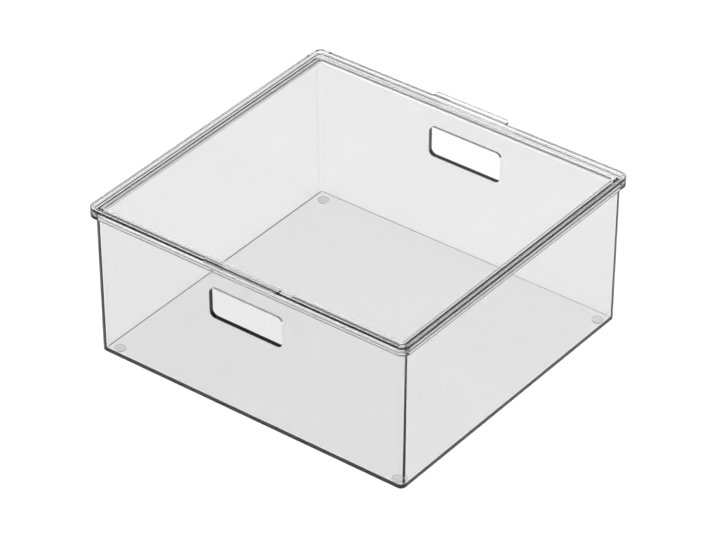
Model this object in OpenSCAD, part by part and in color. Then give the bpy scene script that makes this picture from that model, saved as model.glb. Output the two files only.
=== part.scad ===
// Clear storage box: a one-piece drafted tub with a flange and two hand holes,
// a loose lid with a raised rim, two pull tabs and a locating lip, and four pads.
// X runs along the hand-hole sides, Y is the depth and Z is up from the table.

/* [Overall] */
// Width over the flange and the lid's rim
box_w = 300; // [200:5:400]
// Depth over the flange and the lid's rim, without the pull tabs
box_d = 285; // [200:5:400]
// Height from the table to the top of the lid's rim
box_h = 135; // [100:1:300]
// Plan radius of the corners of the flange and the lid
plan_r = 7.5; // [6:0.5:14]

/* [Tub] */
// Thickness of the side walls
wall_t = 4; // [2.5:0.5:5]
// Thickness of the floor
floor_t = 2.5; // [2:0.5:6]
// How much further in a side wall stands at the floor than at the flange
draft = 1.2; // [0:0.2:3]
// Plan radius of the outer corners of the walls
wall_r = 5; // [4:0.5:8]
// Rounding of the outer edge around the floor
base_r = 1.5; // [1:0.5:3]
// Rounding of the inner edge around the floor
inner_r = 2.5; // [1:0.5:5]
// Thickness of the flange that carries the lid
flange_t = 3; // [2:0.5:5]

/* [Lid] */
// Height of the lid's edge from the bottom of the skirt to the top of the rim
edge_h = 5.2; // [5:0.1:8]
// Thickness of the skirt and width of the rim
skirt_t = 3; // [2:0.2:4]
// Depth of the panel below the rim
recess = 1.5; // [1:0.1:2]
// Thickness of the panel
panel_t = 2; // [1.5:0.1:2]
// Rounding of the outer edge of the rim and the flange
edge_r = 0.8; // [0.4:0.1:1]
// Depth of the locating lip below the panel
lip_h = 4; // [3:0.5:8]
// Thickness of the locating lip
lip_t = 1.5; // [1:0.1:3]

/* [Lid clearances] */
// Gap between the inside of the skirt and the tub's wall
skirt_gap = 0.6; // [0.3:0.1:1]
// Gap between the locating lip and the inside of the wall
lip_gap = 0.5; // [0.3:0.1:1]
// Gap between the skirt and the flange
seat_gap = 0.2; // [0.1:0.1:0.4]
// Gap between the panel and the top edge of the wall
top_gap = 0.3; // [0.2:0.1:0.5]

/* [Pull tabs] */
// Length of each pull tab along X
tab_w = 70; // [40:2:120]
// How far each tab stands out past the rim
tab_out = 3; // [2:0.5:8]
// Height of each tab above the rim
tab_t = 1.5; // [1:0.1:3]
// Radius of the tab's outer corners
tab_r = 2.5; // [1:0.5:4]
// How far each tab is sunk into the rim it is moulded with
tab_sink = 0.4; // [0.2:0.1:0.8]

/* [Hand holes] */
// Width of each hand hole
hole_w = 69; // [50:1:120]
// Height of each hand hole
hole_h = 27; // [20:1:40]
// Corner radius of each hand hole
hole_r = 5; // [2:0.5:9]
// Drop from the top of the rim to the top of the hand hole
hole_drop = 26; // [20:1:40]

/* [Pads] */
// Diameter of each pad
pad_d = 9; // [6:0.5:14]
// Height of each pad
pad_h = 1.5; // [1:0.1:3]
// Distance from the outer face of the wall to the middle of a pad
pad_inset = 11.5; // [9:0.5:20]

/* [Hidden] */

// Steps along each quarter round in plan, and along each edge rounding
arc_steps = 8;
round_steps = 3;

// Heights, from the table up
base_z = pad_h;
floor_z = base_z + floor_t;
skirt_z = box_h - edge_h;
flange_top_z = skirt_z - seat_gap;
flange_z = flange_top_z - flange_t;
panel_top_z = box_h - recess;
panel_z = panel_top_z - panel_t;
wall_top_z = panel_z - top_gap;
lip_z = panel_z - lip_h;

// Insets from the outer edge of the flange, at the top and at the floor
wall_in = skirt_t + skirt_gap;
base_in = wall_in + draft;
cavity_in = wall_in + wall_t;
cavity_base_in = base_in + wall_t;
lip_in = cavity_in + lip_gap;
cavity_r = max(wall_r - wall_t, 1);
pad_x = box_w / 2 - base_in - pad_inset;
pad_y = box_d / 2 - base_in - pad_inset;

// One ring of points: a rounded rectangle set in from the outer edge
function ring(inset, r, z) = [
    for (q = [0 : 3])
        for (k = [0 : arc_steps])
            let (a = 90 * q + 90 * k / arc_steps)
            let (cx = (box_w / 2 - inset - r) * ((q == 0 || q == 3) ? 1 : -1))
            let (cy = (box_d / 2 - inset - r) * ((q < 2) ? 1 : -1))
            [cx + r * cos(a), cy + r * sin(a), z]
];

// A closed solid over rings that run from its lower cap, out and round, to its upper cap
module ring_loft(rings) {
    n = len(rings[0]);
    last = len(rings) - 1;
    lower = [for (i = [0 : n - 1]) i];
    upper = [for (i = [n - 1 : -1 : 0]) last * n + i];
    sides = [
        for (j = [0 : last - 1])
            for (i = [0 : n - 1])
                let (k = (i + 1) % n)
                each [
                    [j * n + i, (j + 1) * n + i, (j + 1) * n + k],
                    [j * n + i, (j + 1) * n + k, j * n + k]
                ]
    ];
    polyhedron(points = [for (r = rings) each r], faces = concat([lower], sides, [upper]), convexity = 8);
}

// Rounded rectangle drawn around its middle
module rounded_plate(w, d, r) {
    square([w - 2 * r, d], center = true);
    square([w, d - 2 * r], center = true);
    for (x = [-1, 1])
        for (y = [-1, 1])
            translate([x * (w / 2 - r), y * (d / 2 - r)])
                circle(r = r, $fn = 32);
}

// The tub's shell, from the floor's underside up the outside and down the inside
module tub_shell() {
    outer_base = [
        for (k = [0 : round_steps])
            let (a = 90 * k / round_steps)
            ring(base_in + base_r * (1 - sin(a)), wall_r, base_z + base_r * (1 - cos(a)))
    ];
    flange = [
        ring(wall_in, wall_r, flange_z),
        ring(edge_r / 2, plan_r, flange_z),
        ring(0, plan_r, flange_z + edge_r / 2),
        ring(0, plan_r, flange_top_z - edge_r / 4),
        ring(edge_r / 4, plan_r, flange_top_z),
        ring(wall_in, wall_r, flange_top_z)
    ];
    brim = [
        ring(wall_in, wall_r, wall_top_z),
        ring(cavity_in, cavity_r, wall_top_z)
    ];
    inner_base = [
        for (k = [round_steps : -1 : 0])
            let (a = 90 * k / round_steps)
            ring(cavity_base_in + inner_r * (1 - sin(a)), cavity_r, floor_z + inner_r * (1 - cos(a)))
    ];
    ring_loft(concat(outer_base, flange, brim, inner_base));
}

// One hand hole's cutter, through a wall that faces -Y or +Y
module hand_hole(side) {
    translate([0, side * (box_d / 2 - cavity_in), box_h - hole_drop - hole_h / 2])
        rotate([90, 0, 0])
            linear_extrude(height = 6 * wall_t, center = true)
                rounded_plate(hole_w, hole_h, hole_r);
}

module box_body() {
    color([0.88, 0.9, 0.92, 0.35])
        difference() {
            tub_shell();
            hand_hole(-1);
            hand_hole(1);
        }
}

// The lid's shell, from the panel's underside over the lip, skirt and rim to the panel's top
module lid_shell() {
    lip_r = cavity_r + lip_gap;
    skirt_r = plan_r - skirt_t;
    lip = [
        ring(lip_in + lip_t, lip_r, panel_z),
        ring(lip_in + lip_t, lip_r, lip_z),
        ring(lip_in, lip_r, lip_z),
        ring(lip_in, lip_r, panel_z)
    ];
    skirt = [
        ring(skirt_t, skirt_r, panel_z),
        ring(skirt_t, skirt_r, skirt_z),
        ring(0, plan_r, skirt_z)
    ];
    rim = [
        for (k = [0 : round_steps])
            let (a = 90 * k / round_steps)
            ring(edge_r * (1 - cos(a)), plan_r, box_h - edge_r * (1 - sin(a)))
    ];
    well = [
        ring(skirt_t, skirt_r, box_h),
        ring(skirt_t, skirt_r, panel_top_z)
    ];
    ring_loft(concat(lip, skirt, rim, well));
}

// A pull tab on the rim's top, standing out past the rim on one side
module pull_tab(side) {
    reach = skirt_t + tab_out;
    round_r = min(tab_r, 0.45 * reach);
    translate([0, side * (box_d / 2 + tab_out - reach / 2), box_h - tab_sink])
        linear_extrude(height = tab_t + tab_sink) {
            rounded_plate(tab_w, reach, round_r);
            translate([0, -side * reach / 4])
                square([tab_w, reach / 2], center = true);
        }
}

module lid() {
    color([0.88, 0.9, 0.92, 0.35])
        union() {
            lid_shell();
            pull_tab(-1);
            pull_tab(1);
        }
}

// One round pad, bonded under a corner of the floor
module pad(x, y) {
    color([0.85, 0.87, 0.88, 0.5])
        translate([x, y, 0])
            cylinder(d = pad_d, h = pad_h, $fn = 48);
}

module foot_front_left() {
    pad(-pad_x, -pad_y);
}

module foot_front_right() {
    pad(pad_x, -pad_y);
}

module foot_back_left() {
    pad(-pad_x, pad_y);
}

module foot_back_right() {
    pad(pad_x, pad_y);
}

box_body();
lid();
foot_front_left();
foot_front_right();
foot_back_left();
foot_back_right();
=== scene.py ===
"""Looks for a clear storage box: a drafted tub, a loose lid with pull tabs and four clear pads."""

import logging
import math
from dataclasses import dataclass
from enum import Enum

import bmesh
import bpy
from mathutils import Matrix, Vector


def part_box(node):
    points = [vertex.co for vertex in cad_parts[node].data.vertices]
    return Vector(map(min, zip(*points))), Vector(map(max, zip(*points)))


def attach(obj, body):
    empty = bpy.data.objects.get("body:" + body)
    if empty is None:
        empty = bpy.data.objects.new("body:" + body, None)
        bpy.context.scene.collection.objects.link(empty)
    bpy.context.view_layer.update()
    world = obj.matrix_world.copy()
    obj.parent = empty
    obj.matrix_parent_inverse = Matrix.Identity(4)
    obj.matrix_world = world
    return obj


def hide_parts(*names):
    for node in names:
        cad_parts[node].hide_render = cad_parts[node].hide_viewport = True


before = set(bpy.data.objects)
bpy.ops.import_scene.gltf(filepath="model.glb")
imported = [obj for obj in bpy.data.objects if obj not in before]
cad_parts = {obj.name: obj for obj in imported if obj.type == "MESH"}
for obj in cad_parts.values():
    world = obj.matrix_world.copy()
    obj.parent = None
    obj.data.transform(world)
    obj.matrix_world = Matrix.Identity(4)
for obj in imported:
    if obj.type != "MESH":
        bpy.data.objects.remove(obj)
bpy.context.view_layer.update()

LOG = logging.getLogger("box")
MM = 0.001

# Angles in degrees
QUARTER_TURN = 90
FULL_TURN = 360

# Steps along each kind of round
CORNER_STEPS = 12
EDGE_STEPS = 4
HOLE_STEPS = 10
TAB_STEPS = 8
PAD_STEPS = 48

# Smallest plan radius of a ring on a rounded edge
LEAST_RADIUS = 0.8 * MM

# The corners of a rectangle, anticlockwise, and the front and back sides of the box
CORNERS = ((1, 1), (-1, 1), (-1, -1), (1, -1))
FRONT_AND_BACK = (-1, 1)

Point = tuple[float, float]
Colour = tuple[float, float, float, float]


class Body(Enum):
    """The frame's bodies."""

    BOX = "box"
    LID = "lid"


class Slot(Enum):
    """The record's material slots."""

    PLASTIC = "clear_plastic"
    RUBBER = "clear_rubber"


class Operation(Enum):
    """What one solid does to another."""

    CUT = "DIFFERENCE"
    JOIN = "UNION"


class Turn(Enum):
    """First and last angles of a rounded edge in a section, with 0 towards the box's middle."""

    OUTER_LOW = (270, 180)
    OUTER_HIGH = (180, 90)
    INNER_HIGH = (90, 0)
    INNER_LOW = (0, -90)
    UNDER_FLANGE = (0, 90)
    UNDER_PANEL = (90, 180)
    INNER_FLOOR = (180, 270)


def arc(centre: Point, radius: float, start: float, end: float, steps: int) -> list[Point]:
    """Gives points along an arc.

    Args:
        centre: the arc's centre.
        radius: the arc's radius.
        start: the first angle in degrees.
        end: the last angle in degrees.
        steps: the steps from the first point to the last.

    Returns:
        The points, as pairs.
    """
    points = []
    for step in range(steps + 1):
        angle = math.radians(start + (end - start) * step / steps)
        points.append((centre[0] + radius * math.cos(angle), centre[1] + radius * math.sin(angle)))
    return points


def rounded_rectangle(half_wide: float, half_high: float, corner: float, steps: int) -> list[Point]:
    """Gives the outline of a rounded rectangle around its middle.

    Args:
        half_wide: half the rectangle's width.
        half_high: half the rectangle's height.
        corner: the radius of its corners.
        steps: the steps along each corner.

    Returns:
        The points, anticlockwise, as pairs.
    """
    outline = []
    for quarter, (side_wide, side_high) in enumerate(CORNERS):
        centre = (side_wide * (half_wide - corner), side_high * (half_high - corner))
        start = quarter * QUARTER_TURN
        outline += arc(centre, corner, start, start + QUARTER_TURN, steps)
    return outline


@dataclass(frozen=True)
class Station:
    """One ring of a section: its inset from the outer edge, its height and its corner radius."""

    inset: float
    height: float
    radius: float


@dataclass(frozen=True)
class Plan:
    """The outer plan of the flange and the lid's rim, in metres."""

    width: float
    depth: float
    corner: float = 7.5 * MM

    def ring(self, station: Station) -> list[Vector]:
        """Gives the points of the rounded rectangle at a station.

        Args:
            station: the ring's inset, height and corner radius.

        Returns:
            The points, anticlockwise from above.
        """
        half_x = self.width / 2 - station.inset
        half_y = self.depth / 2 - station.inset
        outline = rounded_rectangle(half_x, half_y, station.radius, CORNER_STEPS)
        return [Vector((x, y, station.height)) for x, y in outline]


def rounded(inset: float, height: float, radius: float, turn: Turn, corner: float) -> list[Station]:
    """Gives the stations of a rounded edge in a section.

    Args:
        inset: the inset of the rounding's centre.
        height: the height of the rounding's centre.
        radius: the rounding's radius.
        turn: the rounding's first and last angles.
        corner: the plan corner radius at inset zero.

    Returns:
        The stations, in order.
    """
    start, end = turn.value
    points = arc((inset, height), radius, start, end, EDGE_STEPS)
    return [Station(x, z, max(corner - x, LEAST_RADIUS)) for x, z in points]


def mesh_object(name: str, mesh: bmesh.types.BMesh) -> bpy.types.Object:
    """Makes a scene object of a bmesh and frees the bmesh.

    Args:
        name: the object's name.
        mesh: the finished bmesh.

    Returns:
        The new object.
    """
    bmesh.ops.recalc_face_normals(mesh, faces=mesh.faces)
    data = bpy.data.meshes.new(name)
    mesh.to_mesh(data)
    mesh.free()
    made = bpy.data.objects.new(name, data)
    bpy.context.collection.objects.link(made)
    return made


def skin(name: str, outlines: list[list[Vector]]) -> bpy.types.Object:
    """Skins closed outlines, in order, into one solid with a flat cap at both ends.

    Args:
        name: the object's name.
        outlines: the outlines, each with the same count of points.

    Returns:
        The solid.
    """
    mesh = bmesh.new()
    rings = [[mesh.verts.new(point) for point in outline] for outline in outlines]
    count = len(rings[0])
    for near, far in zip(rings, rings[1:]):
        for this in range(count):
            following = (this + 1) % count
            mesh.faces.new((near[this], near[following], far[following], far[this]))
    mesh.faces.new(rings[0])
    mesh.faces.new(rings[-1])
    return mesh_object(name, mesh)


def pull(name: str, outline: list[Vector], along: Vector) -> bpy.types.Object:
    """Pulls a flat outline into a closed solid.

    Args:
        name: the object's name.
        outline: the outline's points, in order.
        along: the way and the distance that the outline is pulled.

    Returns:
        The solid.
    """
    return skin(name, [outline, [point + along for point in outline]])


def combine(target: bpy.types.Object, tool: bpy.types.Object, operation: Operation) -> None:
    """Cuts a solid with a tool or joins the tool to it, and removes the tool.

    Args:
        target: the solid that is changed.
        tool: the solid that cuts or joins it.
        operation: what the tool does.
    """
    modifier = target.modifiers.new("combine", "BOOLEAN")
    modifier.operation = operation.value
    modifier.object = tool
    modifier.solver = "EXACT"
    bpy.context.view_layer.update()
    graph = bpy.context.evaluated_depsgraph_get()
    data = bpy.data.meshes.new_from_object(target.evaluated_get(graph))
    target.modifiers.clear()
    target.data = data
    bpy.data.objects.remove(tool)


def grey(tone: float) -> Colour:
    """Gives an opaque neutral colour of one tone."""
    return (tone, tone, tone, 1.0)


def add_node(
    tree: bpy.types.NodeTree, kind: str, values: dict[str, float | Colour] | None = None
) -> bpy.types.Node:
    """Adds a shader node and sets its sockets.

    Args:
        tree: the node tree.
        kind: the node's type name, without its ShaderNode prefix.
        values: socket names and their values.

    Returns:
        The node.
    """
    node = tree.nodes.new(f"ShaderNode{kind}")
    for label, value in (values or {}).items():
        node.inputs[label].default_value = value
    return node


class SharedGroups:
    """Shader node groups that more than one finish uses."""

    INPUTS = (("Haze Scale", 30.0), ("Low", 0.0), ("High", 0.05), ("Ripple Scale", 8.0))
    OUTPUTS = ("Roughness", "Height")
    HAZE_DETAIL = 6.0
    HAZE_SPAN = (0.35, 0.75)
    RIPPLE_DETAIL = 1.0

    def __init__(self) -> None:
        """Builds each group once."""
        self.surface = self._moulded_surface()

    def _moulded_surface(self) -> bpy.types.NodeTree:
        """Builds fine handling haze and moulding ripple.

        Returns:
            The group, with Roughness and Height outputs.
        """
        tree = bpy.data.node_groups.new("moulded_surface", "ShaderNodeTree")
        for label, value in self.INPUTS:
            socket = tree.interface.new_socket(label, in_out="INPUT", socket_type="NodeSocketFloat")
            socket.default_value = value
        for label in self.OUTPUTS:
            tree.interface.new_socket(label, in_out="OUTPUT", socket_type="NodeSocketFloat")
        start = tree.nodes.new("NodeGroupInput")
        end = tree.nodes.new("NodeGroupOutput")
        place = add_node(tree, "TexCoord")
        haze = add_node(tree, "TexNoise", {"Detail": self.HAZE_DETAIL})
        least, most = self.HAZE_SPAN
        spread = add_node(tree, "MapRange", {"From Min": least, "From Max": most})
        ripple = add_node(tree, "TexNoise", {"Detail": self.RIPPLE_DETAIL})
        link = tree.links.new
        link(place.outputs["Object"], haze.inputs["Vector"])
        link(place.outputs["Object"], ripple.inputs["Vector"])
        link(start.outputs["Haze Scale"], haze.inputs["Scale"])
        link(start.outputs["Ripple Scale"], ripple.inputs["Scale"])
        link(haze.outputs["Fac"], spread.inputs["Value"])
        link(start.outputs["Low"], spread.inputs["To Min"])
        link(start.outputs["High"], spread.inputs["To Max"])
        link(spread.outputs["Result"], end.inputs["Roughness"])
        link(ripple.outputs["Fac"], end.inputs["Height"])
        return tree


@dataclass(frozen=True)
class ClearFinish:
    """A clear moulded finish.

    tint_and_painted_shade is the tone at each surface: the plastic's own tint, and on the tub
    painted shade as well. smooth and hazy are the least and the most roughness.
    ripple is the bump's strength, and shade is the share of shadow and diffuse light let through.
    """

    name: str
    tint_and_painted_shade: float
    ior: float = 1.49
    smooth: float = 0.0
    hazy: float = 0.015
    ripple: float = 0.02
    shade: float = 0.995

    def build(self, groups: SharedGroups) -> bpy.types.Material:
        """Makes the material.

        Args:
            groups: the shared shader groups.

        Returns:
            The material.
        """
        made = bpy.data.materials.new(self.name)
        made.use_nodes = True
        tree = made.node_tree
        shader = tree.nodes["Principled BSDF"]
        shader.inputs["Base Color"].default_value = grey(self.tint_and_painted_shade)
        shader.inputs["Transmission Weight"].default_value = 1.0
        shader.inputs["IOR"].default_value = self.ior
        surface = tree.nodes.new("ShaderNodeGroup")
        surface.node_tree = groups.surface
        surface.inputs["Low"].default_value = self.smooth
        surface.inputs["High"].default_value = self.hazy
        bump = add_node(tree, "Bump", {"Strength": self.ripple, "Distance": MM})
        link = tree.links.new
        link(surface.outputs["Roughness"], shader.inputs["Roughness"])
        link(surface.outputs["Height"], bump.inputs["Height"])
        link(bump.outputs["Normal"], shader.inputs["Normal"])
        self._let_light_through(tree, shader)
        return made

    def _let_light_through(self, tree: bpy.types.NodeTree, shader: bpy.types.Node) -> None:
        """Lets shadow and diffuse rays straight through, so that light reaches the floor once.

        Args:
            tree: the material's node tree.
            shader: the shader that all other rays meet.
        """
        path = add_node(tree, "LightPath")
        clear = add_node(tree, "BsdfTransparent", {"Color": grey(self.shade)})
        either = add_node(tree, "Math")
        either.operation = "MAXIMUM"
        mix = add_node(tree, "MixShader")
        link = tree.links.new
        link(path.outputs["Is Shadow Ray"], either.inputs[0])
        link(path.outputs["Is Diffuse Ray"], either.inputs[1])
        link(either.outputs["Value"], mix.inputs["Fac"])
        link(shader.outputs["BSDF"], mix.inputs[1])
        link(clear.outputs["BSDF"], mix.inputs[2])
        link(mix.outputs["Shader"], tree.nodes["Material Output"].inputs["Surface"])


class Finishes:
    """The finishes of every piece."""

    def __init__(self) -> None:
        """Builds the shared groups and each finish."""
        groups = SharedGroups()
        # The tub is greyer than the lid: part of its tone is the plastic's own tint, part is
        # painted shade for the darker reflections in its walls.
        tub = ClearFinish("clear_tub_look", tint_and_painted_shade=0.83)
        lid = ClearFinish("clear_lid_look", tint_and_painted_shade=1.0)
        rubber = ClearFinish(
            "clear_rubber_look", tint_and_painted_shade=0.9, ior=1.45, smooth=0.03, hazy=0.1, ripple=0.05, shade=0.97
        )
        self.tub, self.lid, self.rubber = (finish.build(groups) for finish in (tub, lid, rubber))


def dress(
    piece: bpy.types.Object, finish: bpy.types.Material, body: Body, node: str
) -> bpy.types.Object:
    """Gives a piece its finish and its body, and hides the CAD node it stands for.

    Args:
        piece: the finished mesh.
        finish: its material.
        body: the body it rides.
        node: the CAD node it replaces.

    Returns:
        The piece.
    """
    piece.data.materials.clear()
    piece.data.materials.append(finish)
    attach(piece, body.value)
    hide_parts(node)
    return piece


@dataclass(frozen=True)
class TubSizes:
    """Sizes of the tub, in metres.

    base and wall_top are heights from the table, and brim and hole_drop are heights below wall_top.
    A hand hole's cutter starts at cut_inside, counted inwards from the flange's outer edge.
    """

    base: float
    wall_top: float
    wall: float = 4 * MM
    floor: float = 2.5 * MM
    wall_inset: float = 3.6 * MM
    draft: float = 1.2 * MM
    wall_corner: float = 5 * MM
    base_round: float = 1.5 * MM
    inner_round: float = 1 * MM
    brim: float = 1.6 * MM
    brim_round: float = 1.2 * MM
    flange: float = 3 * MM
    edge_round: float = 0.4 * MM
    hole_width: float = 69 * MM
    hole_height: float = 27 * MM
    hole_corner: float = 5 * MM
    hole_drop: float = 22.2 * MM
    cut_inside: float = 20 * MM
    cut_length: float = 24 * MM

    @property
    def inside(self) -> float:
        """Gives the inset of the wall's inner face at its top."""
        return self.wall_inset + self.wall

    @property
    def hole_middle(self) -> float:
        """Gives the height of the middle of the hand holes."""
        return self.wall_top - self.hole_drop - self.hole_height / 2


@dataclass(frozen=True)
class Tub:
    """The drafted tub with its flange and hand holes."""

    plan: Plan
    sizes: TubSizes

    def section(self) -> list[Station]:
        """Gives the wall's section, up the outside and down the inside.

        Returns:
            The stations, from the floor's underside to the floor's top.
        """
        sizes = self.sizes
        foot = sizes.wall_inset + sizes.draft
        corner = sizes.wall_corner + foot
        outer_corner = self.plan.corner
        base = sizes.base_round
        soft = sizes.edge_round
        brim = sizes.brim_round
        inner = sizes.inner_round
        flange_high = sizes.wall_top - sizes.brim
        flange_low = flange_high - sizes.flange
        floor_inset = sizes.inside + sizes.draft + inner
        floor_top = sizes.base + sizes.floor
        return [
            *rounded(foot + base, sizes.base + base, base, Turn.OUTER_LOW, corner),
            *rounded(sizes.wall_inset - soft, flange_low - soft, soft, Turn.UNDER_FLANGE, corner),
            *rounded(soft, flange_low + soft, soft, Turn.OUTER_LOW, outer_corner),
            *rounded(soft, flange_high - soft, soft, Turn.OUTER_HIGH, outer_corner),
            Station(sizes.wall_inset, flange_high, sizes.wall_corner),
            *rounded(sizes.wall_inset + soft, sizes.wall_top - soft, soft, Turn.OUTER_HIGH, corner),
            *rounded(sizes.inside - brim, sizes.wall_top - brim, brim, Turn.INNER_HIGH, corner),
            *rounded(floor_inset, floor_top + inner, inner, Turn.INNER_FLOOR, corner),
        ]

    def hand_hole(self, side: int) -> bpy.types.Object:
        """Makes the cutter of one hand hole.

        Args:
            side: -1 for the front wall and 1 for the back wall.

        Returns:
            The cutter.
        """
        sizes = self.sizes
        half_wide, half_high = sizes.hole_width / 2, sizes.hole_height / 2
        outline = rounded_rectangle(half_wide, half_high, sizes.hole_corner, HOLE_STEPS)
        start = side * (self.plan.depth / 2 - sizes.cut_inside)
        points = [Vector((x, start, sizes.hole_middle + z)) for x, z in outline]
        return pull("hand_hole_cut", points, Vector((0, side * sizes.cut_length, 0)))

    def build(self, finishes: Finishes) -> list[bpy.types.Object]:
        """Makes and dresses the tub.

        Args:
            finishes: every finish.

        Returns:
            The tub, as the only piece.
        """
        made = skin("tub", [self.plan.ring(station) for station in self.section()])
        for side in FRONT_AND_BACK:
            combine(made, self.hand_hole(side), Operation.CUT)
        return [dress(made, finishes.tub, Body.BOX, "box_body")]


@dataclass(frozen=True)
class LidSizes:
    """Sizes of the lid, in metres.

    rim_top is a height from the table, tub_inside is the inset of the tub wall's inner face, and
    lip_gap is the gap between that face and the locating lip.
    """

    rim_top: float
    tub_inside: float
    edge: float = 5.2 * MM
    skirt: float = 3 * MM
    recess: float = 1.5 * MM
    panel: float = 2 * MM
    rim_round: float = 0.8 * MM
    edge_round: float = 0.3 * MM
    lip: float = 1.5 * MM
    lip_gap: float = 0.5 * MM
    lip_depth: float = 4 * MM
    lip_round: float = 0.7 * MM
    lip_corner: float = 1.5 * MM
    tab_width: float = 70 * MM
    tab_out: float = 3 * MM
    tab_height: float = 1.5 * MM
    tab_corner: float = 2.5 * MM
    tab_sink: float = 0.4 * MM

    @property
    def lip_inset(self) -> float:
        """Gives the inset of the locating lip's outer face."""
        return self.tub_inside + self.lip_gap


@dataclass(frozen=True)
class Lid:
    """The loose lid: panel, rim, skirt, locating lip and two pull tabs."""

    plan: Plan
    sizes: LidSizes

    def section(self) -> list[Station]:
        """Gives the lid's section, from the panel's underside round to its top.

        Returns:
            The stations, in order.
        """
        sizes = self.sizes
        corner = self.plan.corner
        skirt = sizes.skirt
        soft = sizes.edge_round
        rim = sizes.rim_round
        lip = sizes.lip_round
        panel_top = sizes.rim_top - sizes.recess
        panel_low = panel_top - sizes.panel
        skirt_low = sizes.rim_top - sizes.edge
        lip_low = panel_low - sizes.lip_depth
        lip_outer = sizes.lip_inset
        lip_inner = lip_outer + sizes.lip
        lip_corner = lip_outer + sizes.lip_corner
        return [
            Station(lip_inner, panel_low, sizes.lip_corner),
            *rounded(lip_inner - lip, lip_low + lip, lip, Turn.INNER_LOW, lip_corner),
            *rounded(lip_outer + lip, lip_low + lip, lip, Turn.OUTER_LOW, lip_corner),
            Station(lip_outer, panel_low, sizes.lip_corner),
            *rounded(skirt + soft, panel_low - soft, soft, Turn.UNDER_PANEL, corner),
            *rounded(skirt - soft, skirt_low + soft, soft, Turn.INNER_LOW, corner),
            *rounded(soft, skirt_low + soft, soft, Turn.OUTER_LOW, corner),
            *rounded(rim, sizes.rim_top - rim, rim, Turn.OUTER_HIGH, corner),
            *rounded(skirt - soft, sizes.rim_top - soft, soft, Turn.INNER_HIGH, corner),
            *rounded(skirt + soft, panel_top + soft, soft, Turn.INNER_FLOOR, corner),
        ]

    def pull_tab(self, side: int) -> bpy.types.Object:
        """Makes one pull tab.

        Args:
            side: -1 for the front tab and 1 for the back tab.

        Returns:
            The tab.
        """
        sizes = self.sizes
        near = self.plan.depth / 2 - sizes.skirt
        far = self.plan.depth / 2 + sizes.tab_out - sizes.tab_corner
        half = sizes.tab_width / 2
        turn = half - sizes.tab_corner
        outline = [
            (half, near),
            *arc((turn, far), sizes.tab_corner, 0, QUARTER_TURN, TAB_STEPS),
            *arc((-turn, far), sizes.tab_corner, QUARTER_TURN, 2 * QUARTER_TURN, TAB_STEPS),
            (-half, near),
        ]
        points = [Vector((x, side * y, sizes.rim_top - sizes.tab_sink)) for x, y in outline]
        return pull("pull_tab", points, Vector((0, 0, sizes.tab_sink + sizes.tab_height)))

    def build(self, finishes: Finishes) -> list[bpy.types.Object]:
        """Makes and dresses the lid.

        Args:
            finishes: every finish.

        Returns:
            The lid, as the only piece.
        """
        made = skin("lid_shell", [self.plan.ring(station) for station in self.section()])
        for side in FRONT_AND_BACK:
            combine(made, self.pull_tab(side), Operation.JOIN)
        return [dress(made, finishes.lid, Body.LID, "lid")]


@dataclass(frozen=True)
class Pads:
    """The round clear pads, each a low disc made from its CAD node's box.

    bevel is the size of the lower edge's bevel, gap is what a pad stays short of the floor that it
    is bonded to, and fill is the share of its CAD node's radius that it takes up.
    """

    nodes: tuple[str, ...] = (
        "foot_front_left",
        "foot_front_right",
        "foot_back_left",
        "foot_back_right",
    )
    bevel: float = 0.3 * MM
    gap: float = 0.05 * MM
    fill: float = 0.995

    def disc(self, node: str) -> bpy.types.Object:
        """Makes one pad with a bevelled lower edge.

        Args:
            node: the CAD node it stands for.

        Returns:
            The pad.
        """
        low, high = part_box(node)
        middle = (low + high) / 2
        radius = (high.x - low.x) / 2 * self.fill
        section = (
            (radius - self.bevel, low.z),
            (radius, low.z + self.bevel),
            (radius, high.z - self.gap),
        )
        outlines = []
        for reach, height in section:
            circle = arc((middle.x, middle.y), reach, 0, FULL_TURN, PAD_STEPS)
            outlines.append([Vector((x, y, height)) for x, y in circle[:-1]])
        return skin(node.replace("foot", "pad"), outlines)

    def build(self, finishes: Finishes) -> list[bpy.types.Object]:
        """Makes and dresses every pad.

        Args:
            finishes: every finish.

        Returns:
            The pads.
        """
        return [
            dress(self.disc(node), finishes.rubber, Body.BOX, node)
            for node in self.nodes
        ]


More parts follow.
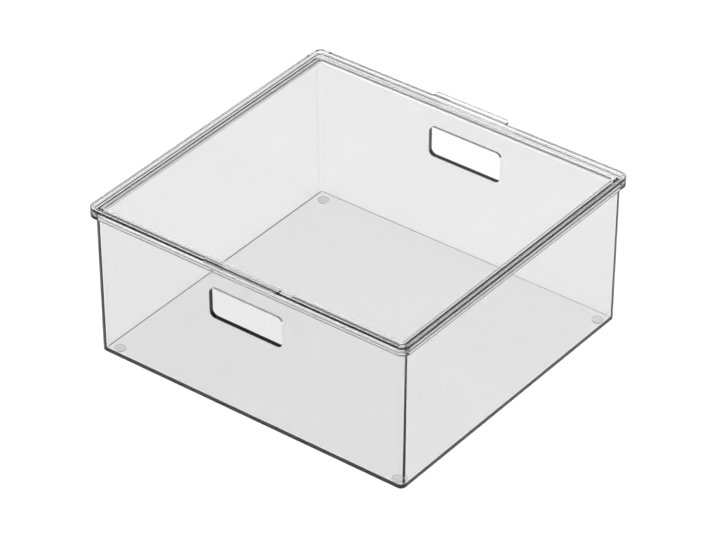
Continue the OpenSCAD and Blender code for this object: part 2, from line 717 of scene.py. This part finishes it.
@dataclass(frozen=True)
class Studio:
    """The pale floor, the soft light and the world.

    Lengths are in metres and angles in degrees. The room's tones go from nadir_tone, straight down,
    to zenith_tone, straight up, and room_tones holds those between, each after its place there.
    """

    floor_half: float = 6.0
    floor_tone: float = 0.98
    floor_drop: float = 0.2 * MM
    lamp_power: float = 2.65
    lamp_spread: float = 70.0
    lamp_tilt: tuple[float, float, float] = (8.0, -10.0, 0.0)
    nadir_tone: float = 1.0
    room_tones: tuple[Point, ...] = (
        (0.40, 1.0),
        (0.47, 0.6),
        (0.52, 0.02),
        (0.70, 0.04),
        (0.79, 0.3),
        (0.88, 0.1),
        (0.93, 0.6),
    )
    zenith_tone: float = 0.8

    def floor(self) -> None:
        """Makes the pale floor, just below the pads."""
        mesh = bmesh.new()
        corners = [(x * self.floor_half, y * self.floor_half) for x, y in CORNERS]
        mesh.faces.new([mesh.verts.new((x, y, -self.floor_drop)) for x, y in corners])
        made = mesh_object("floor", mesh)
        look = bpy.data.materials.new("floor_look")
        look.use_nodes = True
        shader = look.node_tree.nodes["Principled BSDF"]
        shader.inputs["Base Color"].default_value = grey(self.floor_tone)
        shader.inputs["Roughness"].default_value = 1.0
        shader.inputs["Specular IOR Level"].default_value = 0.0
        made.data.materials.append(look)

    def light(self) -> None:
        """Adds one wide, soft overhead lamp."""
        lamp = bpy.data.lights.new("overhead", "SUN")
        lamp.energy = self.lamp_power
        lamp.angle = math.radians(self.lamp_spread)
        made = bpy.data.objects.new("overhead", lamp)
        made.rotation_euler = [math.radians(tilt) for tilt in self.lamp_tilt]
        bpy.context.collection.objects.link(made)

    def world(self) -> None:
        """Builds a white background, and for all other rays a room dark around the horizon."""
        made = bpy.data.worlds.new("studio")
        bpy.context.scene.world = made
        made.use_nodes = True
        tree = made.node_tree
        tree.nodes.clear()
        out = add_node(tree, "OutputWorld")
        mix = add_node(tree, "MixShader")
        path = add_node(tree, "LightPath")
        white = add_node(tree, "Background", {"Color": grey(1.0)})
        room = add_node(tree, "Background")
        place = add_node(tree, "TexCoord")
        split = add_node(tree, "SeparateXYZ")
        spread = add_node(tree, "MapRange", {"From Min": -1.0})
        ramp = add_node(tree, "ValToRGB")
        stops = ramp.color_ramp.elements
        stops[0].color = grey(self.nadir_tone)
        stops[1].color = grey(self.zenith_tone)
        for position, tone in self.room_tones:
            stops.new(position).color = grey(tone)
        link = tree.links.new
        link(place.outputs["Generated"], split.inputs["Vector"])
        link(split.outputs["Z"], spread.inputs["Value"])
        link(spread.outputs["Result"], ramp.inputs["Fac"])
        link(ramp.outputs["Color"], room.inputs["Color"])
        link(path.outputs["Is Camera Ray"], mix.inputs["Fac"])
        link(room.outputs["Background"], mix.inputs[1])
        link(white.outputs["Background"], mix.inputs[2])
        link(mix.outputs["Shader"], out.inputs["Surface"])

    def build(self) -> None:
        """Builds the floor, the lamp and the world."""
        self.floor()
        self.light()
        self.world()


@dataclass(frozen=True)
class Viewpoint:
    """Where the photograph was taken from, fitted to the box's outline.

    Angles are in degrees, distances in metres, and the lens and its sensor in millimetres.
    """

    azimuth: float = 37.503
    elevation: float = 35.075
    distance: float = 3.120
    right: float = 0.001155
    above: float = 0.06019
    lens: float = 207.6
    sensor: float = 36.0
    clip_end: float = 50.0

    def build(self, origin: Vector) -> None:
        """Makes the scene's camera.

        Args:
            origin: the point the camera's distance is counted from.
        """
        azimuth, elevation = math.radians(self.azimuth), math.radians(self.elevation)
        level = math.cos(elevation)
        back = Vector((math.sin(azimuth) * level, -math.cos(azimuth) * level, math.sin(elevation)))
        right = Vector((math.cos(azimuth), math.sin(azimuth), 0.0))
        up = back.cross(right)
        lens = bpy.data.cameras.new("camera")
        lens.sensor_width = self.sensor
        lens.lens = self.lens
        lens.clip_end = self.clip_end
        made = bpy.data.objects.new("camera", lens)
        bpy.context.collection.objects.link(made)
        place = Matrix((right, up, back)).transposed().to_4x4()
        place.translation = origin + back * self.distance - right * self.right - up * self.above
        made.matrix_world = place
        bpy.context.scene.camera = made


def main() -> None:
    """Builds the finishes, each sub-assembly, the studio and the camera, and reports each piece."""
    logging.basicConfig(level=logging.INFO)
    tub_low, tub_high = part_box("box_body")
    lid_low, lid_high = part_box("lid")
    plan = Plan(width=lid_high.x - lid_low.x, depth=tub_high.y - tub_low.y)
    tub_sizes = TubSizes(base=tub_low.z, wall_top=tub_high.z)
    rim_top = lid_high.z - LidSizes.tab_height
    lid_sizes = LidSizes(rim_top=rim_top, tub_inside=tub_sizes.inside)
    finishes = Finishes()
    for assembly in (Tub(plan, tub_sizes), Lid(plan, lid_sizes), Pads()):
        for piece in assembly.build(finishes):
            LOG.info("%s is built, with %d faces", piece.name, len(piece.data.polygons))
    Studio().build()
    Viewpoint().build(Vector((0.0, 0.0, rim_top)))
    bpy.context.scene.view_settings.view_transform = "Standard"


if __name__ == "__main__":
    main()
